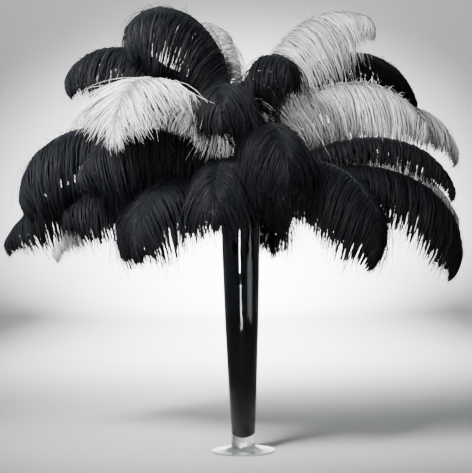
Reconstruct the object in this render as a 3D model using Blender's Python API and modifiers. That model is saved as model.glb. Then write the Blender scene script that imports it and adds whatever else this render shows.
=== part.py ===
"""Ostrich-plume centrepiece: black and white ostrich plumes stand in a ball of
foam on the mouth of a tall tapered vase of black glass with a clear glass foot.
Units are metres, +Z is up, and the origin is the centre of the foot's underside."""

import math

import bmesh
import bpy
from mathutils import Matrix, Vector

# ---------------------------------------------------------------- dimensions

GAP = 0.0003                    # clearance between pieces that touch
TURNING_STEPS = 24              # sides of a turned piece
CORNER_STEPS = 3                # straight pieces in a rounded corner

FOOT_RADIUS = 0.075             # clear glass foot, flat underneath
FOOT_EDGE = 0.004               # height of the rim
FOOT_ROUND = 0.0015             # rounding of the rim
FOOT_SLOPE_RADIUS = 0.063       # the disc rises gently from the rim to here
FOOT_SLOPE_HEIGHT = 0.005
FOOT_FLARE_RADIUS = 0.0425      # then more steeply to here
FOOT_FLARE_HEIGHT = 0.0075
FOOT_NECK_RADIUS = 0.0325       # and sweeps up under the knob from here
FOOT_NECK_HEIGHT = 0.011
KNOB_RADIUS = 0.0295            # clear knob between the foot and the black body
KNOB_ROUND = 0.0015             # groove where the knob is joined to the disc
KNOB_BASE = 0.017
KNOB_TOP = 0.056

VASE_HEIGHT = 0.610             # black glass body
BODY_BOTTOM = 0.034
BODY_RADIUS = 0.0275            # outer radius where the body starts
BODY_TAPER = 0.032              # it widens by this much going straight up
BODY_EASE = 0.013               # less this much, which grows with the square
BODY_WALL = 0.003
BODY_FLOOR = 0.008
BODY_STEPS = 6                  # straight pieces up the side
CORNER_RADIUS = 0.018           # rounded lower corner of the body

BALL_RADIUS = 0.0540            # foam ball, 108 mm
BALL_SEGMENTS = 16
BALL_RINGS = 10
HOLE_OVERRUN = 0.02             # the cutter of a quill hole stands out this far

QUILL_DEPTH = 0.028             # the quills stop this far from the ball's centre
QUILL_RADIUS = 0.0021
QUILL_STRAIGHT = 0.075          # bare quill, straight
VANE_START = 0.110              # where the barbs begin
SHAFT_STEPS = 120               # steps of the walk along a shaft
DRIFT_POWER = 1.5               # a drifting shaft turns mostly near its tip

QUILL_STATIONS = 2              # rows of the plume's grid on the quill
VANE_STATIONS = 8               # rows on the vane
ACROSS = 4                      # faces across a vane
VANE_THICKNESS = 0.0024         # at the shaft, at the start of the vane
TIP_THICKNESS = 0.6             # share of it left at the tip
EDGE_THICKNESS = 0.45           # share of it left at the barb ends

FIRST_BARB = 0.22               # length of the first barbs, share of the longest
LONGEST_FROM = 0.45             # share of the vane where the longest barbs begin
SHORTER_FROM = 0.62             # and where they start to get shorter again
LAST_BARB = 0.42                # length of the last barbs, share of the longest
BARB_ANGLE = 62                 # degrees between the shaft and a barb's root
LAST_BARB_ANGLE = 38            # the same near the tip
CLOSING_FROM = 0.55             # share of the vane where that angle starts to close
FIRST_DROOP = 0.3               # droop of the first barbs, share of the plume's own
DROOPS_BY = 0.14                # share of the vane where the droop is full
TIP_DROOP = 0.2                 # the last barbs droop this share more
TIP_DROOP_FROM = 0.6
ROOT_DROOP = 1.6                # stiff plumes droop more by this share near the quill
ROOT_DROOP_FROM = 0.1
ROOT_DROOP_UNTIL = 0.6
MOST_DROOP = 105                # degrees
DRAPE_POWER = 1.6               # a barb bends mostly near its root, and then hangs
DRAPE_STEPS = 12
WEIGHT = 0.55                   # share of gravity in the way that a barb falls
TIP_FAN = 28                    # the tip's barbs fan out this far, degrees

# name, azimuth (0 = right, -90 = to the viewer), launch and tip elevation,
# bending power, length, sideways drift, roll, length and droop of the barbs
PLUMES = (
    ("black_plume_01", 176, 8, -58, 1.6, 0.585, 0, -1, 0.163, 100),
    ("white_plume_01", 155, 9, -72, 1.6, 0.571, 0, 1, 0.146, 100),
    ("black_plume_02", 131, 11, -85, 1.6, 0.545, 0, 0, 0.162, 100),
    ("black_plume_03", 79, 3, -77, 2.1, 0.520, 0, 0, 0.162, 100),
    ("black_plume_04", 46, 10, -81, 1.6, 0.460, 0, 0, 0.162, 100),
    ("white_plume_02", 15, 21, -63, 1.3, 0.600, 0, 1, 0.146, 100),
    ("black_plume_05", -17, 8, -98, 2.0, 0.615, 0, 0, 0.184, 100),
    ("black_plume_06", -50, 11, -96, 1.7, 0.535, 0, 0, 0.184, 100),
    ("black_plume_07", -125, 1, -90, 2.3, 0.435, 0, 0, 0.188, 100),
    ("black_plume_08", -161, 5, -42, 1.5, 0.405, 0, 0, 0.175, 100),
    ("black_plume_09", -166, 28, -90, 1.9, 0.600, -3, 9, 0.187, 100),
    ("black_plume_10", -141, 31, -60, 1.4, 0.475, 0, -1, 0.178, 100),
    ("black_plume_11", -99, 14, -74, 1.5, 0.395, 0, 0, 0.178, 100),
    ("black_plume_12", -75, 34, -80, 1.5, 0.445, 0, 0, 0.178, 100),
    ("black_plume_13", -18, 21, -74, 2.0, 0.545, 0, -8, 0.114, 95),
    ("black_plume_14", 46, 34, -75, 1.6, 0.557, 0, -5, 0.127, 100),
    ("white_plume_03", 67, 25, -80, 1.6, 0.582, 0, -1, 0.157, 100),
    ("black_plume_15", 106, 23, -81, 1.6, 0.575, 0, 0, 0.164, 100),
    ("white_plume_04", 160, 46, -82, 1.6, 0.605, 0, 4, 0.163, 95),
    ("white_plume_05", -128, 49, -80, 1.7, 0.560, 8, 8, 0.151, 35),
    ("white_plume_06", -5, 60, -60, 1.2, 0.549, 6, -20, 0.167, 80),
    ("white_plume_07", 26, 31, -71, 2.5, 0.684, -3, -3, 0.138, 85),
    ("black_plume_16", -65, 75, -70, 2.0, 0.415, 4, 0, 0.137, 90),
    ("black_plume_17", -97, 57, -77, 1.6, 0.434, 0, 0, 0.155, 95),
    ("black_plume_18", 67, 64, -63, 1.6, 0.460, 2, 3, 0.132, 95),
    ("white_plume_08", 97, 57, -66, 1.6, 0.436, 0, -1, 0.150, 95),
    ("black_plume_19", 181, 63, -67, 2.1, 0.570, 0, 10, 0.163, 95),
    ("black_plume_20", 33, 59, -71, 1.8, 0.701, -7, -12, 0.139, 90),
    ("black_plume_21", 138, 62, -55, 1.9, 0.543, 0, 2, 0.148, 95),
    ("black_plume_22", -155, 86, -81, 2.2, 0.584, -6, 25, 0.177, 95),
    ("white_plume_09", -5, 81, -26, 1.8, 0.544, 0, -24, 0.163, 90),
    ("white_plume_10", 112, 78, -22, 2.2, 0.540, 0, 7, 0.143, 95),
)

BLACK_FEATHER = (0.012, 0.013, 0.016, 1.0)
WHITE_FEATHER = (0.80, 0.81, 0.80, 1.0)
BLACK_GLASS = (0.006, 0.007, 0.012, 1.0)
CLEAR_GLASS = (0.93, 0.96, 0.95, 1.0)
FOAM = (0.03, 0.035, 0.03, 1.0)

# ------------------------------------------------------------------- helpers


def clear_scene():
    """Remove whatever the file opened with."""
    for thing in list(bpy.data.objects):
        bpy.data.objects.remove(thing, do_unlink=True)


def new_collection(name):
    group = bpy.data.collections.new(name)
    bpy.context.scene.collection.children.link(group)
    return group


def material(name, colour, roughness, transmission=0.0):
    """One plain Principled material."""
    mat = bpy.data.materials.new(name)
    mat.use_nodes = True
    shader = mat.node_tree.nodes["Principled BSDF"]
    shader.inputs["Base Color"].default_value = colour
    shader.inputs["Roughness"].default_value = roughness
    shader.inputs["Metallic"].default_value = 0.0
    shader.inputs["Transmission Weight"].default_value = transmission
    return mat


def add_object(name, mesh, group, mat):
    piece = bpy.data.objects.new(name, mesh)
    group.objects.link(piece)
    mesh.materials.append(mat)
    return piece


def turned(name, profile, group, mat):
    """Turn a closed (radius, height) profile about the Z axis."""
    mesh = bpy.data.meshes.new(name)
    shape = bmesh.new()
    corners = [shape.verts.new((radius, 0.0, height)) for radius, height in profile]
    for here, after in zip(corners, corners[1:] + corners[:1]):
        shape.edges.new((here, after))
    shape.to_mesh(mesh)
    shape.free()
    piece = add_object(name, mesh, group, mat)
    screw = piece.modifiers.new("Turn", "SCREW")
    screw.axis = "Z"
    screw.steps = TURNING_STEPS
    screw.render_steps = TURNING_STEPS
    screw.use_merge_vertices = True
    screw.merge_threshold = 0.0001
    screw.use_smooth_shade = True
    return piece


def arc(centre_radius, centre_height, radius, start, end):
    """Points on a rounded corner of a profile, angles in degrees."""
    points = []
    for index in range(CORNER_STEPS + 1):
        angle = math.radians(start + (end - start) * index / CORNER_STEPS)
        points.append((centre_radius + radius * math.cos(angle),
                       centre_height + radius * math.sin(angle)))
    return points


def ease(share, start, end):
    """Smooth step from 0 at start to 1 at end."""
    x = min(max((share - start) / (end - start), 0.0), 1.0)
    return x * x * (3.0 - 2.0 * x)

# ---------------------------------------------------------------------- vase


def body_radius(height):
    """Outer radius of the black glass body: a taper that slackens upwards."""
    share = (height - BODY_BOTTOM) / (VASE_HEIGHT - BODY_BOTTOM)
    return BODY_RADIUS + BODY_TAPER * share - BODY_EASE * share * share


def make_vase_body(group):
    """Hollow glass body with a rounded bottom, open at the mouth."""
    start = BODY_BOTTOM + CORNER_RADIUS
    rise = (VASE_HEIGHT - start) / BODY_STEPS
    heights = [VASE_HEIGHT - rise * index for index in range(BODY_STEPS + 1)]
    outside = [(body_radius(height), height) for height in heights]
    corner = arc(body_radius(start) - CORNER_RADIUS, start, CORNER_RADIUS, 0, -90)[1:]
    inner_corner = CORNER_RADIUS - BODY_WALL
    floor = BODY_BOTTOM + BODY_FLOOR
    bend = floor + inner_corner
    inside_corner = arc(body_radius(bend) - BODY_WALL - inner_corner, bend, inner_corner, -90, 0)
    inside = [(body_radius(height) - BODY_WALL, height) for height in reversed(heights[:-1])]
    profile = outside + corner + [(0.0, BODY_BOTTOM), (0.0, floor)] + inside_corner + inside
    return turned("vase_body", profile, group, material("black_glass", BLACK_GLASS, 0.06))


def make_vase_foot(group):
    """Clear disc that sweeps up to a knob, in which the body's bottom sits."""
    seat = BODY_BOTTOM + CORNER_RADIUS
    bowl = arc(body_radius(seat) - CORNER_RADIUS, seat, CORNER_RADIUS + GAP, -90, 0)
    profile = [
        (KNOB_RADIUS, KNOB_TOP),
        (KNOB_RADIUS, KNOB_BASE + KNOB_ROUND),
        (KNOB_RADIUS - KNOB_ROUND, KNOB_BASE),
        (FOOT_NECK_RADIUS, FOOT_NECK_HEIGHT),
        (FOOT_FLARE_RADIUS, FOOT_FLARE_HEIGHT),
        (FOOT_SLOPE_RADIUS, FOOT_SLOPE_HEIGHT),
        (FOOT_RADIUS - FOOT_ROUND, FOOT_EDGE),
        (FOOT_RADIUS, FOOT_EDGE - FOOT_ROUND),
        (FOOT_RADIUS, FOOT_ROUND),
        (FOOT_RADIUS - FOOT_ROUND, 0.0),
        (0.0, 0.0),
        (0.0, BODY_BOTTOM - GAP),
    ]
    profile += bowl
    profile.append((body_radius(KNOB_TOP) + GAP, KNOB_TOP))
    glass = material("clear_glass", CLEAR_GLASS, 0.03, transmission=1.0)
    return turned("vase_foot", profile, group, glass)

# -------------------------------------------------------------------- plumes


def ball_centre():
    """The ball rests on the inner edge of the mouth."""
    mouth = body_radius(VASE_HEIGHT) - BODY_WALL
    rise = math.sqrt(BALL_RADIUS ** 2 - mouth ** 2)
    return Vector((0.0, 0.0, VASE_HEIGHT + rise + GAP))


def heading(plume, distance):
    """Directions along, beside and above the shaft at a distance from the quill's end."""
    _, azimuth, launch, tip, power, length, drift, roll, _, _ = plume
    share = max(distance - QUILL_STRAIGHT, 0.0) / (length - QUILL_STRAIGHT)
    elevation = math.radians(launch + (tip - launch) * share ** power)
    bearing = math.radians(azimuth + drift * share ** DRIFT_POWER)
    along = Vector((math.cos(elevation) * math.cos(bearing),
                    math.cos(elevation) * math.sin(bearing),
                    math.sin(elevation)))
    level = Vector((math.sin(bearing), -math.cos(bearing), 0.0))
    rolled = math.radians(roll)
    side = level * math.cos(rolled) + level.cross(along) * math.sin(rolled)
    return along, side, side.cross(along)


def shaft_point(plume, distance):
    """Walk along the bending shaft from the quill's end."""
    point = ball_centre() + heading(plume, 0.0)[0] * QUILL_DEPTH
    step = distance / SHAFT_STEPS
    for index in range(SHAFT_STEPS):
        point += heading(plume, (index + 0.5) * step)[0] * step
    return point


def vane_share(index):
    """Share of the vane at one row of the grid; the last two rows are at its end."""
    return min((index - QUILL_STATIONS) / (VANE_STATIONS - 1), 1.0)


def station_distance(index, length):
    """Distance along the shaft of one row of the grid."""
    if index < QUILL_STATIONS:
        return QUILL_STRAIGHT * index / (QUILL_STATIONS - 1)
    return VANE_START + (length - VANE_START) * vane_share(index)


def drape(bend, part):
    """How far a point on a hanging barb lies outwards and down, as shares of the barb."""
    outwards = down = 0.0
    for index in range(DRAPE_STEPS):
        along_barb = part * (index + 0.5) / DRAPE_STEPS
        angle = bend * (1.0 - (1.0 - along_barb) ** DRAPE_POWER)
        outwards += math.cos(angle) * part / DRAPE_STEPS
        down += math.sin(angle) * part / DRAPE_STEPS
    return outwards, down


def barb_end(plume, share, across, is_tip):
    """Offset from the shaft of a point on the barb that leaves at this share of
    the vane: the barbs leave forwards, and drape below the shaft. The last ones
    fan out past its end and round the tip off."""
    length, barb, droop = plume[5], plume[8], plume[9]
    along, side, up = heading(plume, VANE_START + (length - VANE_START) * share)
    growth = math.sin(math.pi / 2 * min(share / LONGEST_FROM, 1.0))
    reach = barb * (FIRST_BARB + (1.0 - FIRST_BARB) * growth)
    reach *= 1.0 - (1.0 - LAST_BARB) * ease(share, SHORTER_FROM, 1.0)
    closing = ease(share, CLOSING_FROM, 1.0)
    forward = math.radians(BARB_ANGLE + (LAST_BARB_ANGLE - BARB_ANGLE) * closing)
    bend = math.radians(droop) * (1.0 + TIP_DROOP * ease(share, TIP_DROOP_FROM, 1.0))
    bend *= 1.0 + ROOT_DROOP * (1.0 - ease(share, ROOT_DROOP_FROM, ROOT_DROOP_UNTIL))
    bend = min(bend, math.radians(MOST_DROOP))
    bend *= FIRST_DROOP + (1.0 - FIRST_DROOP) * ease(share, 0.0, DROOPS_BY)
    part = abs(across)
    if is_tip:
        forward = math.radians(TIP_FAN) * abs(across)
        part = 1.0
    outwards, down = drape(bend, part)
    root = along * math.cos(forward) + side * math.copysign(math.sin(forward), across)
    fall = (up * (WEIGHT - 1.0) + Vector((0.0, 0.0, -WEIGHT))).normalized()
    return reach * (root * outwards + fall * down)


def vane_weight(share, across):
    """Thickness as a share of the quill's: less towards the tip and the barb ends."""
    towards_tip = 1.0 - (1.0 - TIP_THICKNESS) * share
    towards_edge = 1.0 - (1.0 - EDGE_THICKNESS) * abs(across)
    return VANE_THICKNESS / (2 * QUILL_RADIUS) * towards_tip * towards_edge


def make_plume(plume, group, mat):
    """One plume: a grid laid along the shaft, narrow at the quill, spread to the
    barb tips along the vane, and given its thickness by Solidify."""
    name, length = plume[0], plume[5]
    rows = QUILL_STATIONS + VANE_STATIONS
    mesh = bpy.data.meshes.new(name)
    shape = bmesh.new()
    bmesh.ops.create_grid(shape, x_segments=rows, y_segments=ACROSS, size=0.5)
    points = [shaft_point(plume, station_distance(i, length)) for i in range(rows + 1)]
    weights = []
    for vert in shape.verts:
        index = round((vert.co.x + 0.5) * rows)
        across = -2.0 * vert.co.y
        if index < QUILL_STATIONS:
            side = heading(plume, station_distance(index, length))[1]
            vert.co = points[index] + side * across * QUILL_RADIUS
            weights.append(1.0)
        else:
            share = vane_share(index)
            vert.co = points[index] + barb_end(plume, share, across, index == rows)
            weights.append(vane_weight(share, across))
    shape.to_mesh(mesh)
    shape.free()
    piece = add_object(name, mesh, group, mat)
    thickness = piece.vertex_groups.new(name="thickness")
    for index, weight in enumerate(weights):
        thickness.add([index], weight, "REPLACE")
    solid = piece.modifiers.new("Thickness", "SOLIDIFY")
    solid.thickness = 2 * QUILL_RADIUS
    solid.offset = 0.0
    solid.vertex_group = thickness.name
    solid.thickness_vertex_group = 0.0
    solid.use_even_offset = True
    return piece


def make_quill_hole(plume, cutters):
    """Cutter for the slot that a plume's quill is pushed into."""
    name = "hole_" + plume[0]
    length = BALL_RADIUS - QUILL_DEPTH + GAP + HOLE_OVERRUN
    width = 2 * (QUILL_RADIUS + GAP)
    mesh = bpy.data.meshes.new(name)
    shape = bmesh.new()
    bmesh.ops.create_cube(shape, size=1.0)
    bmesh.ops.scale(shape, vec=(length, width, width), verts=shape.verts)
    shape.to_mesh(mesh)
    shape.free()
    hole = bpy.data.objects.new(name, mesh)
    cutters.objects.link(hole)
    along, side, up = heading(plume, 0.0)
    middle = ball_centre() + along * (QUILL_DEPTH - GAP + length / 2)
    turned_to = Matrix((along, -side, up)).transposed().to_4x4()
    hole.matrix_world = Matrix.Translation(middle) @ turned_to
    hole.hide_render = True
    hole.display_type = "WIRE"


def make_ball(group, cutters):
    """Foam ball with a slot for each quill."""
    mesh = bpy.data.meshes.new("foam_ball")
    shape = bmesh.new()
    bmesh.ops.create_uvsphere(shape, u_segments=BALL_SEGMENTS, v_segments=BALL_RINGS,
                              radius=BALL_RADIUS)
    bmesh.ops.translate(shape, verts=shape.verts, vec=ball_centre())
    shape.to_mesh(mesh)
    shape.free()
    ball = add_object("foam_ball", mesh, group, material("foam", FOAM, 0.9))
    for plume in PLUMES:
        make_quill_hole(plume, cutters)
    cut = ball.modifiers.new("Quill holes", "BOOLEAN")
    cut.operation = "DIFFERENCE"
    cut.solver = "EXACT"
    cut.operand_type = "COLLECTION"
    cut.collection = cutters
    return ball


def build():
    clear_scene()
    group = new_collection("ostrich_plume_centrepiece")
    cutters = new_collection("cutters")
    make_vase_foot(group)
    make_vase_body(group)
    make_ball(group, cutters)
    black = material("black_feather", BLACK_FEATHER, 0.6)
    white = material("white_feather", WHITE_FEATHER, 0.7)
    for plume in PLUMES:
        make_plume(plume, group, black if plume[0].startswith("black") else white)


build()
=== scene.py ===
import math
from collections import namedtuple

import bmesh
import bpy
import numpy as np
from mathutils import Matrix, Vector, noise


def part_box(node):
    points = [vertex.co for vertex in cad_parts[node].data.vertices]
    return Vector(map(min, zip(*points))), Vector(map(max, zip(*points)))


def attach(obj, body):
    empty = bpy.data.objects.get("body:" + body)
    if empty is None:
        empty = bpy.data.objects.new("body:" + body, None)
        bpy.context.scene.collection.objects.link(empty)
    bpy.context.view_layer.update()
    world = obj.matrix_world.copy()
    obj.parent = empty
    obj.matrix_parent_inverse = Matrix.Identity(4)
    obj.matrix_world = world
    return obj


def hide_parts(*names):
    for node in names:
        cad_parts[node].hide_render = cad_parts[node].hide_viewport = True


# The looks of a centrepiece of black and white ostrich plumes. They drape from a foam
# ball on the mouth of a tall black glass vase with a clear glass foot. Units are metres.

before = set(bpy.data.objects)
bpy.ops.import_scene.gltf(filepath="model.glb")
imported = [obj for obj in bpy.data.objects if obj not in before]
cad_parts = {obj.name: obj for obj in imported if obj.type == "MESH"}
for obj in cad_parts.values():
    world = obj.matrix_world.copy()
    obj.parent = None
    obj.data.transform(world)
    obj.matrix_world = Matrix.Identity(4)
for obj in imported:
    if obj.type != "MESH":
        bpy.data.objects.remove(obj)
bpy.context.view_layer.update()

# ------------------------------------------------------------------ camera
# A long lens three metres in front of the vase, level with the middle of the
# picture and rolled a little, as the photograph was taken.

CAMERA_PLACE = (-0.0111, -3.0, 0.5096)
CAMERA_ROLL = math.radians(0.75)
CAMERA_LENS = 96.34             # millimetres, on a 36 mm sensor

camera_data = bpy.data.cameras.new("camera")
camera_data.lens = CAMERA_LENS
camera_data.sensor_width = 36.0
camera = bpy.data.objects.new("camera", camera_data)
camera.location = CAMERA_PLACE
camera.rotation_euler = (math.pi / 2, CAMERA_ROLL, 0.0)
bpy.context.collection.objects.link(camera)
bpy.context.scene.camera = camera

# ------------------------------------------------------- backdrop and light
# A pale floor that curves up into a pale wall all round. Two lamps light the wall and
# the floor behind the vase. Softboxes light the plumes from the front left, above and
# the right, and one by the camera and a low strip draw the streaks down the vase.

STAGE_FLOOR = 5.2               # radius of the flat part
STAGE_CURVE = 2.6               # radius of the curve from floor to wall
STAGE_HEIGHT = 9.0
STAGE_RISE = 0.0003             # the foot sinks this far into the soft floor
STAGE_COLOUR = (0.62, 0.63, 0.62, 1.0)
SKY_COLOUR = (0.93, 0.96, 1.0, 1.0)
SKY_STRENGTH = 0.36
WARM_LIGHT = (1.0, 0.99, 0.97)
COOL_LIGHT = (0.94, 0.97, 1.0)
DAY_LIGHT = (0.97, 0.98, 1.0)
BACK_LIGHT = (0.98, 0.99, 1.0)


def turned(name, outline, steps, closed=True):
    """Turn an outline of (radius, height) points about the Z axis."""
    shape = bmesh.new()
    points = [shape.verts.new((radius, 0.0, height)) for radius, height in outline]
    edges = [shape.edges.new(pair) for pair in zip(points, points[1:])]
    if closed:
        edges.append(shape.edges.new((points[-1], points[0])))
    bmesh.ops.spin(shape, geom=points + edges, cent=(0, 0, 0), axis=(0, 0, 1),
                   angle=2 * math.pi, steps=steps, use_merge=True)
    bmesh.ops.remove_doubles(shape, verts=shape.verts, dist=0.000001)
    bmesh.ops.dissolve_degenerate(shape, dist=0.000001, edges=shape.edges)
    bmesh.ops.recalc_face_normals(shape, faces=shape.faces)
    mesh = bpy.data.meshes.new(name)
    shape.to_mesh(mesh)
    shape.free()
    mesh.shade_smooth()
    piece = bpy.data.objects.new(name, mesh)
    bpy.context.collection.objects.link(piece)
    return piece


def arc(centre_radius, centre_height, radius, start, end, steps):
    """Points on a rounded corner of an outline, angles in degrees."""
    points = []
    for index in range(steps + 1):
        angle = math.radians(start + (end - start) * index / steps)
        points.append((centre_radius + radius * math.cos(angle),
                       centre_height + radius * math.sin(angle)))
    return points


def new_material(name):
    """An empty Principled material, with its shader and a way to add nodes."""
    material = bpy.data.materials.new(name)
    material.use_nodes = True
    tree = material.node_tree
    return material, tree, tree.nodes["Principled BSDF"]


def lamp(name, place, aim, width, height, power, colour, spread):
    """A rectangular softbox that faces a point, with a grid that narrows its beam.

    The place and the aim are points, the power is in watts and the spread in degrees.
    """
    data = bpy.data.lights.new(name, "AREA")
    data.shape = "RECTANGLE"
    data.size = width
    data.size_y = height
    data.energy = power
    data.color = colour
    data.spread = math.radians(spread)
    box = bpy.data.objects.new(name, data)
    box.location = place
    box.rotation_euler = (Vector(aim) - Vector(place)).to_track_quat("-Z", "Y").to_euler()
    box.visible_camera = False
    bpy.context.collection.objects.link(box)


stage_outline = [(0.0, STAGE_RISE), (STAGE_FLOOR, STAGE_RISE)]
stage_outline += arc(STAGE_FLOOR, STAGE_CURVE + STAGE_RISE, STAGE_CURVE, -90, 0, 16)[1:]
stage_outline.append((STAGE_FLOOR + STAGE_CURVE, STAGE_HEIGHT))
stage = turned("stage", stage_outline, 96, closed=False)
stage_material, stage_tree, stage_shader = new_material("pale_backdrop")
stage_shader.inputs["Base Color"].default_value = STAGE_COLOUR
stage_shader.inputs["Roughness"].default_value = 0.9
stage_shader.inputs["Specular IOR Level"].default_value = 0.1
stage.data.materials.append(stage_material)

world = bpy.data.worlds.new("soft_sky")
world.use_nodes = True
sky = world.node_tree.nodes["Background"]
sky.inputs["Color"].default_value = SKY_COLOUR
sky.inputs["Strength"].default_value = SKY_STRENGTH
bpy.context.scene.world = world

lamp("front_softbox", (-1.1, -1.5, 1.9), (-0.3, -0.1, 0.82), 0.5, 0.5, 22.0, WARM_LIGHT, 46.0)
lamp("top_softbox", (0.4, 0.5, 2.4), (0.0, 0.1, 0.8), 0.7, 0.7, 0.8, DAY_LIGHT, 60.0)
lamp("right_softbox", (1.4, -0.95, 0.5), (0.0, 0.0, 0.5), 1.2, 0.8, 0.9, COOL_LIGHT, 60.0)
lamp("camera_softbox", (-0.42, -3.0, 0.42), (-0.15, 0.0, 0.72), 0.22, 0.45, 5.0, WARM_LIGHT, 34.0)
lamp("low_strip", (-0.16, -1.9, 0.12), (0.0, 0.0, 0.35), 0.06, 0.22, 0.7, WARM_LIGHT, 60.0)
lamp("backdrop_lamp", (0.0, 3.4, 2.6), (0.0, 7.0, 0.5), 1.2, 0.5, 330.0, BACK_LIGHT, 56.0)
lamp("floor_lamp", (0.0, 3.9, 2.4), (0.0, 3.901, 0.0), 0.2, 4.4, 240.0, BACK_LIGHT, 60.0)

# -------------------------------------------------------------- vase shape
# The vase widens upwards. Its wall is black glass cased in a layer of
# clear glass, and the clear glass goes on below it as a knob and a disc foot.

VASE_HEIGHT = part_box("vase_body")[1].z
BODY_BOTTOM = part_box("vase_body")[0].z
BODY_RADIUS = 0.0275            # outer radius where the body starts
BODY_TAPER = 0.032              # it widens by this much going straight up
BODY_EASE = 0.013               # less this much, which grows with the square
BODY_WALL = 0.003
BODY_FLOOR = 0.008
CASING = 0.0014                 # clear glass outside the black
END_HEIGHT = 0.040              # the black glass rounds off to its end over this height
CORE_FUSED = 0.00005            # the black glass reaches this far into the clear
RIM_ROUND = 0.0006
TURNING_STEPS = 96
SIDE_STEPS = 24
END_STEPS = 16


def body_radius(height):
    """Outer radius of the vase: a taper that slackens upwards."""
    share = (height - BODY_BOTTOM) / (VASE_HEIGHT - BODY_BOTTOM)
    return BODY_RADIUS + BODY_TAPER * share - BODY_EASE * share * share


def side(start, end, inset):
    """The side of the body from one height to another, set in from the outside."""
    points = []
    for index in range(SIDE_STEPS + 1):
        height = start + (end - start) * index / SIDE_STEPS
        points.append((body_radius(height) - inset, height))
    return points


def rounded_end(bottom, inset, height):
    """From the axis outwards and up round the half-oval end of the body."""
    top = body_radius(bottom + height) - inset
    points = []
    for index in range(END_STEPS + 1):
        angle = math.pi / 2 * index / END_STEPS
        points.append((top * math.sin(angle), bottom + height * (1.0 - math.cos(angle))))
    return points


# ------------------------------------------------- clear glass foot and casing
# Clear glass with a faint grey cast: a disc foot, a little scuffed, that sweeps up to a
# knob. The glass carries on from the knob as a thin, slightly wavy skin over the black
# glass, up to the ground rim.

KNOB_RADIUS = 0.0285
KNOB_ROUND = 0.0015
KNOB_BASE = 0.017
KNOB_TOP = 0.056
FOOT_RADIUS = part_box("vase_foot")[1].x
FOOT_EDGE = 0.004
FOOT_ROUND = 0.0015
FOOT_NECK = 0.0325              # the sweep of the disc starts at this radius
FOOT_RISE = 0.0018              # the disc rises this much towards the knob
FOOT_SWEEP = 0.0052             # and its sweep adds this at the neck
FOOT_SWEEP_FALL = 0.0085        # the sweep falls away over this distance
GLASS_IOR = 1.50
GLASS_TINT = (0.80, 0.845, 0.84, 1.0)
GLASS_POLISH = 0.01             # roughness of the knob and the skin
GLASS_SCUFFS = 0.07             # roughness of the disc
SCUFFED_UP_TO = 0.006           # the scuffs fade out between these heights
POLISHED_FROM = 0.014


def disc_height(radius):
    """Top of the disc foot: nearly flat, and sweeping up towards the knob."""
    rise = FOOT_RISE * (FOOT_RADIUS - FOOT_ROUND - radius) / (FOOT_RADIUS - FOOT_NECK)
    return FOOT_EDGE + rise + FOOT_SWEEP * math.exp((FOOT_NECK - radius) / FOOT_SWEEP_FALL)


foot_outline = [(0.0, 0.0)]
foot_outline += arc(FOOT_RADIUS - FOOT_ROUND, FOOT_ROUND, FOOT_ROUND, -90, 0, 4)
foot_outline += arc(FOOT_RADIUS - FOOT_ROUND, FOOT_EDGE - FOOT_ROUND, FOOT_ROUND, 0, 90, 4)
disc_edge = FOOT_RADIUS - FOOT_ROUND
for index in range(1, SIDE_STEPS + 1):
    radius = disc_edge + (FOOT_NECK - disc_edge) * index / SIDE_STEPS
    foot_outline.append((radius, disc_height(radius)))
foot_outline += arc(FOOT_NECK, KNOB_BASE - KNOB_ROUND, KNOB_ROUND * 3, 250, 180, 4)
foot_outline += arc(KNOB_RADIUS - KNOB_ROUND, KNOB_BASE + KNOB_ROUND, KNOB_ROUND, -60, 0, 4)
foot_outline += side(KNOB_TOP, VASE_HEIGHT - RIM_ROUND, 0.0)
rim_radius = body_radius(VASE_HEIGHT) - RIM_ROUND
foot_outline += arc(rim_radius, VASE_HEIGHT - RIM_ROUND, RIM_ROUND, 10, 90, 4)
foot_outline += side(VASE_HEIGHT, BODY_BOTTOM + END_HEIGHT, CASING + CORE_FUSED)[:-1]
hollow = rounded_end(BODY_BOTTOM + CORE_FUSED, CASING + CORE_FUSED, END_HEIGHT)
foot_outline += reversed(hollow)
clear_glass_piece = turned("vase_clear_glass", foot_outline, TURNING_STEPS)

clear_glass, glass_tree, glass = new_material("clear_glass")
glass.inputs["Base Color"].default_value = GLASS_TINT
glass.inputs["Transmission Weight"].default_value = 1.0
glass.inputs["IOR"].default_value = GLASS_IOR
glass_place = glass_tree.nodes.new("ShaderNodeTexCoord")
waviness = glass_tree.nodes.new("ShaderNodeTexNoise")
waviness.inputs["Scale"].default_value = 34.0
waviness.inputs["Detail"].default_value = 1.0
glass_bump = glass_tree.nodes.new("ShaderNodeBump")
glass_bump.inputs["Strength"].default_value = 0.06
glass_bump.inputs["Distance"].default_value = 0.002
glass_tree.links.new(glass_place.outputs["Object"], waviness.inputs["Vector"])
glass_tree.links.new(waviness.outputs["Fac"], glass_bump.inputs["Height"])
glass_tree.links.new(glass_bump.outputs["Normal"], glass.inputs["Normal"])
glass.inputs["Specular IOR Level"].default_value = 0.2
glass_height = glass_tree.nodes.new("ShaderNodeSeparateXYZ")
scuffed = glass_tree.nodes.new("ShaderNodeMapRange")
scuffed.inputs["From Min"].default_value = SCUFFED_UP_TO
scuffed.inputs["From Max"].default_value = POLISHED_FROM
scuffed.inputs["To Min"].default_value = GLASS_SCUFFS
scuffed.inputs["To Max"].default_value = GLASS_POLISH
glass_tree.links.new(glass_place.outputs["Object"], glass_height.inputs["Vector"])
glass_tree.links.new(glass_height.outputs["Z"], scuffed.inputs["Value"])
glass_tree.links.new(scuffed.outputs["Result"], glass.inputs["Roughness"])
clear_glass_piece.data.materials.append(clear_glass)
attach(clear_glass_piece, "root")
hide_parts("vase_foot")

# ------------------------------------------------------------ black glass body
# The black glass itself, hollow, with a rounded bottom and an open mouth. It is
# thin, fused into the clear glass, and polished inside and out.

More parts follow.
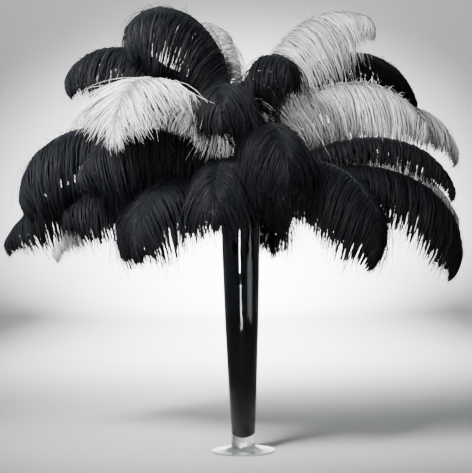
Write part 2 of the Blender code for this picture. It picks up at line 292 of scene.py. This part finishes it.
core_outline = rounded_end(BODY_BOTTOM, CASING, END_HEIGHT)
core_outline += side(BODY_BOTTOM + END_HEIGHT, VASE_HEIGHT - RIM_ROUND, CASING)[1:]
core_outline += side(VASE_HEIGHT, BODY_BOTTOM + END_HEIGHT, BODY_WALL)[:-1]
core_outline += reversed(rounded_end(BODY_BOTTOM + BODY_FLOOR, BODY_WALL, END_HEIGHT - BODY_FLOOR))
black_glass_piece = turned("vase_black_glass", core_outline, TURNING_STEPS)

black_glass, black_tree, black = new_material("black_glass")
black.inputs["Roughness"].default_value = 0.04
black.inputs["Specular IOR Level"].default_value = 0.0
black_place = black_tree.nodes.new("ShaderNodeTexCoord")
cloud = black_tree.nodes.new("ShaderNodeTexNoise")
cloud.inputs["Scale"].default_value = 9.0
cloud.inputs["Detail"].default_value = 3.0
depth = black_tree.nodes.new("ShaderNodeValToRGB")
depth.color_ramp.elements[0].position = 0.35
depth.color_ramp.elements[0].color = (0.0012, 0.0013, 0.002, 1.0)
depth.color_ramp.elements[1].position = 0.75
depth.color_ramp.elements[1].color = (0.003, 0.0035, 0.006, 1.0)
black_tree.links.new(black_place.outputs["Object"], cloud.inputs["Vector"])
black_tree.links.new(cloud.outputs["Fac"], depth.inputs["Fac"])
black_tree.links.new(depth.outputs["Color"], black.inputs["Base Color"])
black_glass_piece.data.materials.append(black_glass)
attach(black_glass_piece, "root")
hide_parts("vase_body")

# -------------------------------------------------------------------- foam ball
# A 108 mm ball of dry black foam that sits in the mouth and takes the quills. Its
# surface is open, fine and slightly uneven.

BALL_LOW, BALL_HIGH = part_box("foam_ball")
BALL_CENTRE = (BALL_LOW + BALL_HIGH) / 2
BALL_RADIUS = (BALL_HIGH.z - BALL_LOW.z) / 2
BALL_DENTS = 0.0006
DENT_SCALE = 90.0

ball_shape = bmesh.new()
bmesh.ops.create_icosphere(ball_shape, subdivisions=5, radius=BALL_RADIUS - BALL_DENTS)
for vert in ball_shape.verts:
    vert.co += vert.co.normalized() * BALL_DENTS * noise.noise(vert.co * DENT_SCALE)
bmesh.ops.translate(ball_shape, verts=ball_shape.verts, vec=BALL_CENTRE)
ball_mesh = bpy.data.meshes.new("foam_ball_surface")
ball_shape.to_mesh(ball_mesh)
ball_shape.free()
ball_mesh.shade_smooth()
ball = bpy.data.objects.new("foam_ball_surface", ball_mesh)
bpy.context.collection.objects.link(ball)

foam, foam_tree, foam_shader = new_material("foam")
foam_shader.inputs["Roughness"].default_value = 0.95
foam_shader.inputs["Specular IOR Level"].default_value = 0.2
foam_place = foam_tree.nodes.new("ShaderNodeTexCoord")
cells = foam_tree.nodes.new("ShaderNodeTexVoronoi")
cells.inputs["Scale"].default_value = 900.0
foam_tone = foam_tree.nodes.new("ShaderNodeValToRGB")
foam_tone.color_ramp.elements[0].color = (0.03, 0.034, 0.03, 1.0)
foam_tone.color_ramp.elements[1].color = (0.008, 0.009, 0.008, 1.0)
foam_bump = foam_tree.nodes.new("ShaderNodeBump")
foam_bump.inputs["Strength"].default_value = 0.7
foam_bump.inputs["Distance"].default_value = 0.0008
foam_tree.links.new(foam_place.outputs["Object"], cells.inputs["Vector"])
foam_tree.links.new(cells.outputs["Distance"], foam_tone.inputs["Fac"])
foam_tree.links.new(cells.outputs["Distance"], foam_bump.inputs["Height"])
foam_tree.links.new(foam_tone.outputs["Color"], foam_shader.inputs["Base Color"])
foam_tree.links.new(foam_bump.outputs["Normal"], foam_shader.inputs["Normal"])
ball_mesh.materials.append(foam)
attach(ball, "root")
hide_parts("foam_ball")

# ------------------------------------------------------------- run of a plume
# Each plume is one feather: a quill pushed into the ball, whose shaft leaves
# straight and then arches over under the weight of its long, soft barbs.

QUILL_DEPTH = 0.028             # the quills stop this far from the ball's centre
QUILL_RADIUS = 0.0019
TIP_RADIUS = 0.0004
QUILL_STRAIGHT = 0.075          # bare quill, straight
VANE_START = 0.110              # where the long barbs begin
DOWN_START = 0.068              # soft short barbs cover the quill from here
DRIFT_POWER = 1.5               # a drifting shaft turns mostly near its tip
SHAFT_TAPER = 1.3               # above 1, the shaft narrows mostly near its tip
SHAFT_STEPS = 240
SHAFT_POINTS = 36

Plume = namedtuple("Plume", "name azimuth launch tip power length drift roll barb droop")

# name, azimuth (0 = right, -90 = to the viewer), launch and tip elevation,
# bending power, length, sideways drift, roll, length and droop of the barbs
PLUMES = [Plume(*row) for row in (
    ("black_plume_01", 176, 8, -58, 1.6, 0.585, 0, -1, 0.163, 100),
    ("white_plume_01", 155, 9, -72, 1.6, 0.571, 0, 1, 0.146, 100),
    ("black_plume_02", 131, 11, -85, 1.6, 0.545, 0, 0, 0.162, 100),
    ("black_plume_03", 79, 3, -77, 2.1, 0.520, 0, 0, 0.162, 100),
    ("black_plume_04", 46, 10, -81, 1.6, 0.460, 0, 0, 0.162, 100),
    ("white_plume_02", 15, 21, -63, 1.3, 0.600, 0, 1, 0.146, 100),
    ("black_plume_05", -17, 8, -98, 2.0, 0.615, 0, 0, 0.184, 100),
    ("black_plume_06", -50, 11, -96, 1.7, 0.535, 0, 0, 0.184, 100),
    ("black_plume_07", -125, 1, -90, 2.3, 0.435, 0, 0, 0.188, 100),
    ("black_plume_08", -161, 5, -42, 1.5, 0.405, 0, 0, 0.175, 100),
    ("black_plume_09", -166, 28, -90, 1.9, 0.600, -3, 9, 0.187, 100),
    ("black_plume_10", -141, 31, -60, 1.4, 0.475, 0, -1, 0.178, 100),
    ("black_plume_11", -99, 14, -74, 1.5, 0.395, 0, 0, 0.178, 100),
    ("black_plume_12", -75, 34, -80, 1.5, 0.445, 0, 0, 0.178, 100),
    ("black_plume_13", -18, 21, -74, 2.0, 0.545, 0, -8, 0.114, 95),
    ("black_plume_14", 46, 34, -75, 1.6, 0.557, 0, -5, 0.127, 100),
    ("white_plume_03", 67, 25, -80, 1.6, 0.582, 0, -1, 0.157, 100),
    ("black_plume_15", 106, 23, -81, 1.6, 0.575, 0, 0, 0.164, 100),
    ("white_plume_04", 160, 46, -82, 1.6, 0.605, 0, 4, 0.163, 95),
    ("white_plume_05", -128, 49, -80, 1.7, 0.560, 8, 8, 0.151, 35),
    ("white_plume_06", -5, 60, -60, 1.2, 0.549, 6, -20, 0.167, 80),
    ("white_plume_07", 26, 31, -71, 2.5, 0.684, -3, -3, 0.138, 85),
    ("black_plume_16", -65, 75, -70, 2.0, 0.415, 4, 0, 0.137, 90),
    ("black_plume_17", -97, 57, -77, 1.6, 0.434, 0, 0, 0.155, 95),
    ("black_plume_18", 67, 64, -63, 1.6, 0.460, 2, 3, 0.132, 95),
    ("white_plume_08", 97, 57, -66, 1.6, 0.436, 0, -1, 0.150, 95),
    ("black_plume_19", 181, 63, -67, 2.1, 0.570, 0, 10, 0.163, 95),
    ("black_plume_20", 33, 59, -71, 1.8, 0.701, -7, -12, 0.139, 90),
    ("black_plume_21", 138, 62, -55, 1.9, 0.543, 0, 2, 0.148, 95),
    ("black_plume_22", -155, 86, -81, 2.2, 0.584, -6, 25, 0.177, 95),
    ("white_plume_09", -5, 81, -26, 1.8, 0.544, 0, -24, 0.163, 90),
    ("white_plume_10", 112, 78, -22, 2.2, 0.540, 0, 7, 0.143, 95),
)]


def unit(vectors):
    """The same directions, each one long."""
    return vectors / np.linalg.norm(vectors, axis=-1, keepdims=True)


def heading(plume, distance):
    """Directions along, beside and above the shaft, at distances from the quill's end."""
    share = np.clip((distance - QUILL_STRAIGHT) / (plume.length - QUILL_STRAIGHT), 0.0, 1.0)
    elevation = np.radians(plume.launch + (plume.tip - plume.launch) * share ** plume.power)
    bearing = np.radians(plume.azimuth + plume.drift * share ** DRIFT_POWER)
    along = np.stack([np.cos(elevation) * np.cos(bearing),
                      np.cos(elevation) * np.sin(bearing), np.sin(elevation)], -1)
    level = np.stack([np.sin(bearing), -np.cos(bearing), 0.0 * bearing], -1)
    rolled = math.radians(plume.roll)
    beside = level * math.cos(rolled) + np.cross(level, along) * math.sin(rolled)
    return along, beside, np.cross(beside, along)


def shaft_points(plume, distance):
    """Places on the bending shaft, found by walking it in small steps."""
    steps = np.linspace(0.0, plume.length, SHAFT_STEPS + 1)
    middles = (steps[1:] + steps[:-1]) / 2
    walk = heading(plume, middles)[0] * (steps[1] - steps[0])
    start = np.array(BALL_CENTRE) + heading(plume, np.zeros(1))[0] * QUILL_DEPTH
    places = np.concatenate([start, start + np.cumsum(walk, axis=0)])
    return np.stack([np.interp(distance, steps, places[:, axis]) for axis in range(3)], -1)


def shaft_mesh(plume):
    """The quill and shaft: a round rod that tapers to the tip, with closed ends."""
    distance = np.linspace(0.0, plume.length, SHAFT_POINTS)
    curve = bpy.data.curves.new("shaft", "CURVE")
    curve.dimensions = "3D"
    curve.bevel_depth = QUILL_RADIUS
    curve.bevel_resolution = 1
    curve.use_fill_caps = True
    line = curve.splines.new("POLY")
    line.points.add(SHAFT_POINTS - 1)
    narrowing = 1.0 - (1.0 - TIP_RADIUS / QUILL_RADIUS) * (distance / plume.length) ** SHAFT_TAPER
    for point, place, radius in zip(line.points, shaft_points(plume, distance), narrowing):
        point.co = (*place, 1.0)
        point.radius = radius
    rod = bpy.data.objects.new("shaft", curve)
    bpy.context.collection.objects.link(rod)
    mesh = bpy.data.meshes.new_from_object(rod.evaluated_get(bpy.context.evaluated_depsgraph_get()))
    bpy.data.objects.remove(rod)
    return mesh


# ------------------------------------------------------------ barbs of a plume
# A barb is long and limp, and its own fluff makes it a soft flat ribbon. It leaves
# the shaft forwards, droops in an arc, and clings to its neighbours near its end.

RINGS = 6                       # rings of a barb's three-sided hair
FIRST_BARB = 0.95               # length of the first barbs, share of the longest
LONGEST_FROM = 0.20             # share of the vane where the longest barbs begin
SHORTER_FROM = 0.66             # and where they start to get shorter again
LAST_BARB = 0.32                # length of the last barbs, share of the longest
BARB_ANGLE = 62.0               # degrees between the shaft and a barb's root
LAST_BARB_ANGLE = 34.0          # the same near the tip
CLOSING_FROM = 0.55             # share of the vane where that angle starts to close
SOFT_DROOP = 100.0              # the droop of a soft plume; stiffer ones lift less too
FIRST_DROOP = 0.6               # droop of the first barbs, share of the plume's own
DROOPS_BY = 0.14                # share of the vane where the droop is full
TIP_DROOP = 0.1                 # the last barbs droop this share more
TIP_DROOP_FROM = 0.6
ROOT_DROOP = 2.4                # stiff plumes droop more by this near the quill
ROOT_DROOP_FROM = 0.1           # in full up to this share of the vane
ROOT_DROOP_UNTIL = 0.6
MOST_DROOP = 105.0              # degrees
TIP_BUSHY = 1.25                # above 1, barbs stand closer together towards the tip
TIP_FAN = 8.5                   # root angles stray this many times as far at the tip
TIP_FAN_FROM = 0.84
DRAPE_STEPS = 30
DRAPE_POWER = 1.6               # a barb bends mostly near its root, and then hangs
WEIGHT = 0.55                   # share of gravity in the way that it falls
SHARED_TONE = 0.7               # share of its tone that a barb has from its clump
UNEVEN_SPACING = 0.4            # spread of a barb's place, share of the spacing
CLUMP_REACH = (-2.0, 1.0)       # clumps fall short further than they stick out
DROOP_RANGE = (0.6, 1.5)        # least and most droop, share of the layer's
LIFT_FROM = -0.3                # a few barbs lie under the others by this share
CLUMP_ANGLE = 2.0               # a clump's angle strays this many times its barbs' mean
CLUMP_PULL = (0.2, 1.0)         # some clumps hold together less
CLING_POWER = 1.6               # barbs cling mostly near their ends
SWAY_TURNS = (0.5, 1.5)         # waves along a barb
SIZE_RANGE = (0.75, 1.25)       # of a barb's width, share of the layer's
ROOT_WIDTH = 0.80               # width at the root, share of the full width
FULL_WIDTH_AT = 0.25            # share of a barb where it is at its widest
NARROWS_FROM = 0.45
ROLL_SPREAD = 25.0              # degrees that barbs roll about their own lines
TWIST_SPREAD = 30.0             # and twist on the way to their ends

# Plumes whose barbs are longer or shorter than their row says, by this factor.
FULLER = {"black_plume_22": 1.14, "black_plume_09": 1.12, "black_plume_19": 1.08,
          "black_plume_13": 0.82, "white_plume_02": 1.08, "white_plume_09": 1.22}

# Four layers of barbs: the fluff that fills the vane, the barbs that it shows, longer
# stray ones, and short ones that stand up along the shaft. Each has the distance between
# neighbours, the width and thickness of a barb, its least and most reach, the spread of its
# root angle, its droop and the spread of that, its lift in degrees, its waviness, how many
# neighbours cling together, how far they do and how uneven their reach is, the share of its
# width that a barb has at its end, and its range of tone.
LAYERS = (
    # The first layer takes the dark end of the tones: painted shade in the gaps between the barbs.
    dict(spacing=0.0056, width=0.0100, thick=0.0032, reach=(0.78, 0.96), angles=1.6,
         droop=1.0, droops=0.05, lifts=3.0, wave=0.0015, group=1, cling=0.0, uneven=0.0,
         point=0.30, tones=(0.0, 0.3)),
    dict(spacing=0.0019, width=0.0021, thick=0.0016, reach=(0.80, 1.10), angles=5.0,
         droop=1.0, droops=0.12, lifts=9.0, wave=0.0035, group=3, cling=0.50, uneven=0.07,
         point=0.15, tones=(0.15, 1.0)),
    dict(spacing=0.0062, width=0.0009, thick=0.0006, reach=(0.92, 1.20), angles=10.0,
         droop=1.0, droops=0.20, lifts=16.0, wave=0.0060, group=3, cling=0.25, uneven=0.05,
         point=0.3, tones=(0.6, 1.0)),
    dict(spacing=0.0120, width=0.0011, thick=0.0009, reach=(0.08, 0.22), angles=14.0,
         droop=0.30, droops=0.25, lifts=62.0, wave=0.0030, group=1, cling=0.0, uneven=0.0,
         point=0.3, tones=(0.5, 1.0)),
)


def ease(share, start, end):
    """Smooth step from 0 at start to 1 at end."""
    x = np.clip((share - start) / (end - start), 0.0, 1.0)
    return x * x * (3.0 - 2.0 * x)


def hair_strands(count):
    """Many copies of one closed three-sided hair, a unit wide and a unit long."""
    shape = bmesh.new()
    bmesh.ops.create_cone(shape, cap_ends=True, segments=3, radius1=1.0, radius2=1.0, depth=1.0)
    bmesh.ops.translate(shape, verts=shape.verts, vec=(0.0, 0.0, 0.5))
    for index in range(1, RINGS - 1):
        everything = shape.verts[:] + shape.edges[:] + shape.faces[:]
        bmesh.ops.bisect_plane(shape, geom=everything, dist=0.0001, plane_no=(0, 0, 1),
                               plane_co=(0.0, 0.0, index / (RINGS - 1)))
    bmesh.ops.recalc_face_normals(shape, faces=shape.faces)
    mesh = bpy.data.meshes.new("hair")
    shape.to_mesh(mesh)
    shape.free()
    hair = bpy.data.objects.new("hair", mesh)
    bpy.context.collection.objects.link(hair)
    copies = hair.modifiers.new("Copies", "ARRAY")
    copies.count = count
    copies.use_relative_offset = False
    made = bpy.data.meshes.new_from_object(hair.evaluated_get(bpy.context.evaluated_depsgraph_get()))
    bpy.data.objects.remove(hair)
    return made, len(mesh.vertices)


def barb_lines(plume, share, hand, reach, angle, droop, lift, t):
    """Centre lines of barbs from root to end, and the shaft's direction at each root."""
    distance = VANE_START + (plume.length - VANE_START) * share
    along, beside, up = heading(plume, distance)
    growth = np.sin(math.pi / 2 * np.clip(share / LONGEST_FROM, 0.0, 1.0))
    reach = reach * plume.barb * FULLER.get(plume.name, 1.0) * (FIRST_BARB + (1.0 - FIRST_BARB) * growth)
    reach = reach * (1.0 - (1.0 - LAST_BARB) * ease(share, SHORTER_FROM, 1.0))
    closing = ease(share, CLOSING_FROM, 1.0)
    forward = BARB_ANGLE + (LAST_BARB_ANGLE - BARB_ANGLE) * closing + angle
    fan = ease(share, TIP_FAN_FROM, 1.0)
    forward = np.radians(forward * (1.0 - fan) + angle * TIP_FAN * fan)
    bend = np.radians(plume.droop) * (FIRST_DROOP + (1.0 - FIRST_DROOP) * ease(share, 0.0, DROOPS_BY))
    bend = bend * (1.0 + TIP_DROOP * ease(share, TIP_DROOP_FROM, 1.0))
    bend = bend * (1.0 + ROOT_DROOP * (1.0 - ease(share, ROOT_DROOP_FROM, ROOT_DROOP_UNTIL)))
    bend = np.minimum(bend, math.radians(MOST_DROOP)) * droop
    root = along * np.cos(forward)[:, None] + beside * (hand * np.sin(forward))[:, None]
    root = unit(root + up * np.tan(np.radians(lift))[:, None])
    fall = unit(up * (WEIGHT - 1.0) + np.array([0.0, 0.0, -WEIGHT]))
    fine = (np.arange(DRAPE_STEPS) + 0.5) / DRAPE_STEPS
    swept = bend[:, None] * (1.0 - (1.0 - fine) ** DRAPE_POWER)
    stops = np.rint(t * DRAPE_STEPS).astype(int)
    start = np.zeros((len(share), 1))
    out = np.concatenate([start, np.cumsum(np.cos(swept), axis=1)], 1)[:, stops] / DRAPE_STEPS
    down = np.concatenate([start, np.cumsum(np.sin(swept), axis=1)], 1)[:, stops] / DRAPE_STEPS
    lines = root[:, None, :] * out[..., None] + fall[:, None, :] * down[..., None]
    return shaft_points(plume, distance)[:, None, :] + lines * reach[:, None, None], along


def barb_layer(plume, layer, rng):
    """Centre lines, ribbon directions, widths and tones of one layer of barbs."""
    spacing, group = layer["spacing"], layer["group"]
    start = (DOWN_START - VANE_START) / (plume.length - VANE_START)
    count = int((plume.length - DOWN_START) / spacing / group) * group
    share = 1.0 - (1.0 - start) * np.linspace(1.0, 0.0, count) ** TIP_BUSHY
    share = np.concatenate([share] * 2)
    strays = rng.normal(0.0, UNEVEN_SPACING * spacing / plume.length, 2 * count)
    share = np.clip(share + strays, start, 1.0)
    hand = np.repeat([-1.0, 1.0], count)
    t = np.linspace(0.0, 1.0, RINGS)
    clump = np.repeat(rng.normal(0.0, 1.0, 2 * count // group), group).clip(*CLUMP_REACH)
    reach = rng.uniform(*layer["reach"], 2 * count) * (1.0 + layer["uneven"] * clump)
    angle = rng.normal(0.0, layer["angles"], 2 * count)
    droop = layer["droop"] * rng.normal(1.0, layer["droops"], 2 * count).clip(*DROOP_RANGE)
    lift = rng.uniform(LIFT_FROM, 1.0, 2 * count) * layer["lifts"] * plume.droop / SOFT_DROOP
    lines, along = barb_lines(plume, share, hand, reach, angle, droop, lift, t)
    if group > 1:
        members = (-1, group)
        led = [np.repeat(v.reshape(members).mean(1), group) for v in (share, angle, droop, lift)]
        led[1] = led[1] * CLUMP_ANGLE
        led_lines, _ = barb_lines(plume, led[0], hand, reach, *led[1:], t)
        pull = np.repeat(rng.uniform(*CLUMP_PULL, 2 * count // group), group)
        pull = pull[:, None] * layer["cling"] * t ** CLING_POWER
        lines = lines + (led_lines - lines) * pull[..., None]
    run = unit(np.gradient(lines, axis=1))
    across = along[:, None, :] - (along[:, None, :] * run).sum(-1, keepdims=True) * run
    across = unit(across)
    above = np.cross(run, across)
    phase = rng.uniform(0.0, 2 * math.pi, (2, 2 * count, 1))
    turns = rng.uniform(*SWAY_TURNS, (2, 2 * count, 1)) * 2 * math.pi
    sway = layer["wave"] * t * np.sin(turns * t + phase)
    lines = lines + across * sway[0][..., None] + above * sway[1][..., None]
    roll = rng.normal(0.0, ROLL_SPREAD, (2 * count, 1))
    roll = np.radians(roll + rng.normal(0.0, TWIST_SPREAD, (2 * count, 1)) * t)
    turned_across = across * np.cos(roll)[..., None] + above * np.sin(roll)[..., None]
    turned_above = np.cross(run, turned_across)
    taper = ROOT_WIDTH + (1.0 - ROOT_WIDTH) * ease(t, 0.0, FULL_WIDTH_AT)
    taper = taper * (1.0 - (1.0 - layer["point"]) * ease(t, NARROWS_FROM, 1.0))
    size = rng.uniform(*SIZE_RANGE, (2 * count, 1)) * taper
    shared = np.repeat(rng.uniform(0.0, 1.0, 2 * count // group), group)
    own = rng.uniform(0.0, 1.0, 2 * count)
    tone = np.interp(SHARED_TONE * shared + (1.0 - SHARED_TONE) * own, (0.0, 1.0), layer["tones"])
    tone = np.repeat(tone[:, None], RINGS, 1)
    half_width = turned_across * (size * layer["width"] / 2)[..., None]
    half_depth = turned_above * (np.sqrt(size) * layer["thick"] / 2)[..., None]
    return lines, half_width, half_depth, tone, np.broadcast_to(t, tone.shape)


def make_plume(plume, number, barb_look, shaft_look):
    """One plume: all its barbs and its shaft, joined in one mesh."""
    rng = np.random.default_rng(number)
    parts = [barb_layer(plume, layer, rng) for layer in LAYERS]
    lines, across, above, tone, ends = [np.concatenate(group) for group in zip(*parts)]
    mesh, per_strand = hair_strands(len(lines))
    places = np.empty(len(mesh.vertices) * 3, np.float32)
    mesh.vertices.foreach_get("co", places)
    section = places.reshape(-1, per_strand, 3)[0]
    ring = np.rint(section[:, 2] * (RINGS - 1)).astype(int)
    places = lines[:, ring] + across[:, ring] * section[:, 0, None]
    places = places + above[:, ring] * section[:, 1, None]
    mesh.vertices.foreach_set("co", places.astype(np.float32).ravel())
    for name, values in (("tone", tone), ("towards_end", ends)):
        attribute = mesh.attributes.new(name, "FLOAT", "POINT")
        attribute.data.foreach_set("value", values[:, ring].astype(np.float32).ravel())
    mesh.materials.append(barb_look)
    mesh.materials.append(shaft_look)
    rod = shaft_mesh(plume)
    shape = bmesh.new()
    shape.from_mesh(mesh)
    barb_faces = len(shape.faces)
    shape.from_mesh(rod)
    shape.faces.ensure_lookup_table()
    rod_faces = shape.faces[barb_faces:]
    for face in rod_faces:
        face.material_index = 1
    rod_verts = list({vert for face in rod_faces for vert in face.verts})
    bmesh.ops.remove_doubles(shape, verts=rod_verts, dist=0.00001)
    bmesh.ops.recalc_face_normals(shape, faces=shape.faces)
    shape.to_mesh(mesh)
    shape.free()
    bpy.data.meshes.remove(rod)
    mesh.shade_smooth()
    mesh.name = plume.name + "_barbs"
    piece = bpy.data.objects.new(plume.name + "_barbs", mesh)
    bpy.context.collection.objects.link(piece)
    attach(piece, "root")
    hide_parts(plume.name)


# ------------------------------------------------------- looks of a plume
# Barbs are soft keratin with a faint sheen. Each clump has a tone of its own, and all have
# painted shade where they leave the shaft, which is smooth and horny.

MIDDLE_TONE = 0.4               # place of the middle colour in the range of tones
PAINTED_SHADE_UNTIL = 0.35              # the shade fades out over this share of a barb
SHAFT_GRAIN = 40.0


def barb_material(name, dark, middle, light, painted_shade_at_root, roughness, sheen, gloss, sheen_tint):
    """Soft barbs: each has its own tone, and all have painted shade in the depth by the shaft."""
    material, tree, shader = new_material(name)
    tone = tree.nodes.new("ShaderNodeAttribute")
    tone.attribute_name = "tone"
    ramp = tree.nodes.new("ShaderNodeValToRGB")
    ramp.color_ramp.elements[0].color = (*dark, 1.0)
    ramp.color_ramp.elements[1].color = (*light, 1.0)
    ramp.color_ramp.elements.new(MIDDLE_TONE).color = (*middle, 1.0)
    ends = tree.nodes.new("ShaderNodeAttribute")
    ends.attribute_name = "towards_end"
    # Painted shade: this darkens the base colour near the shaft and fades out along each barb.
    depth = tree.nodes.new("ShaderNodeMapRange")
    depth.inputs["From Max"].default_value = PAINTED_SHADE_UNTIL
    depth.inputs["To Min"].default_value = painted_shade_at_root
    depth.inputs["To Max"].default_value = 1.0
    shade = tree.nodes.new("ShaderNodeMix")
    shade.data_type = "RGBA"
    shade.blend_type = "MULTIPLY"
    shade.inputs["Factor"].default_value = 1.0
    tree.links.new(tone.outputs["Fac"], ramp.inputs["Fac"])
    tree.links.new(ends.outputs["Fac"], depth.inputs["Value"])
    tree.links.new(ramp.outputs["Color"], shade.inputs["A"])
    tree.links.new(depth.outputs["Result"], shade.inputs["B"])
    tree.links.new(shade.outputs["Result"], shader.inputs["Base Color"])
    shader.inputs["Roughness"].default_value = roughness
    shader.inputs["Sheen Weight"].default_value = sheen
    shader.inputs["Specular IOR Level"].default_value = gloss
    shader.inputs["Sheen Tint"].default_value = sheen_tint
    return material


def shaft_material(name, dark, light):
    """A smooth horny shaft, faintly mottled from dark to light."""
    material, tree, shader = new_material(name)
    place = tree.nodes.new("ShaderNodeTexCoord")
    grain = tree.nodes.new("ShaderNodeTexNoise")
    grain.inputs["Scale"].default_value = SHAFT_GRAIN
    ramp = tree.nodes.new("ShaderNodeValToRGB")
    ramp.color_ramp.elements[0].color = (*dark, 1.0)
    ramp.color_ramp.elements[1].color = (*light, 1.0)
    tree.links.new(place.outputs["Object"], grain.inputs["Vector"])
    tree.links.new(grain.outputs["Fac"], ramp.inputs["Fac"])
    tree.links.new(ramp.outputs["Color"], shader.inputs["Base Color"])
    shader.inputs["Roughness"].default_value = 0.35
    return material


# ---------------------------------------------------------------- black plumes
# Dyed a deep blue-black. They take almost no light, and show only a faint cold
# sheen along the barbs.

black_barbs = barb_material("black_feather", dark=(0.001, 0.0011, 0.0015),
                            middle=(0.0026, 0.0028, 0.0038), light=(0.0052, 0.0057, 0.0078),
                            painted_shade_at_root=0.5, roughness=0.6, sheen=0.012, gloss=0.12,
                            sheen_tint=(0.6, 0.75, 1.0, 1.0))
black_shaft = shaft_material("black_shaft", (0.01, 0.01, 0.012), (0.03, 0.028, 0.03))
for number, plume in enumerate(PLUMES):
    if plume.name.startswith("black"):
        make_plume(plume, number, black_barbs, black_shaft)

# ---------------------------------------------------------------- white plumes
# Bleached white, with painted grey shadow between the barbs and a cream shaft.

white_barbs = barb_material("white_feather", dark=(0.06, 0.063, 0.066),
                            middle=(0.42, 0.425, 0.42), light=(0.90, 0.905, 0.90),
                            painted_shade_at_root=0.5, roughness=0.6, sheen=0.10, gloss=0.3,
                            sheen_tint=(1.0, 1.0, 1.0, 1.0))
white_shaft = shaft_material("white_shaft", (0.70, 0.68, 0.60), (0.85, 0.83, 0.76))
for number, plume in enumerate(PLUMES):
    if plume.name.startswith("white"):
        make_plume(plume, number, white_barbs, white_shaft)
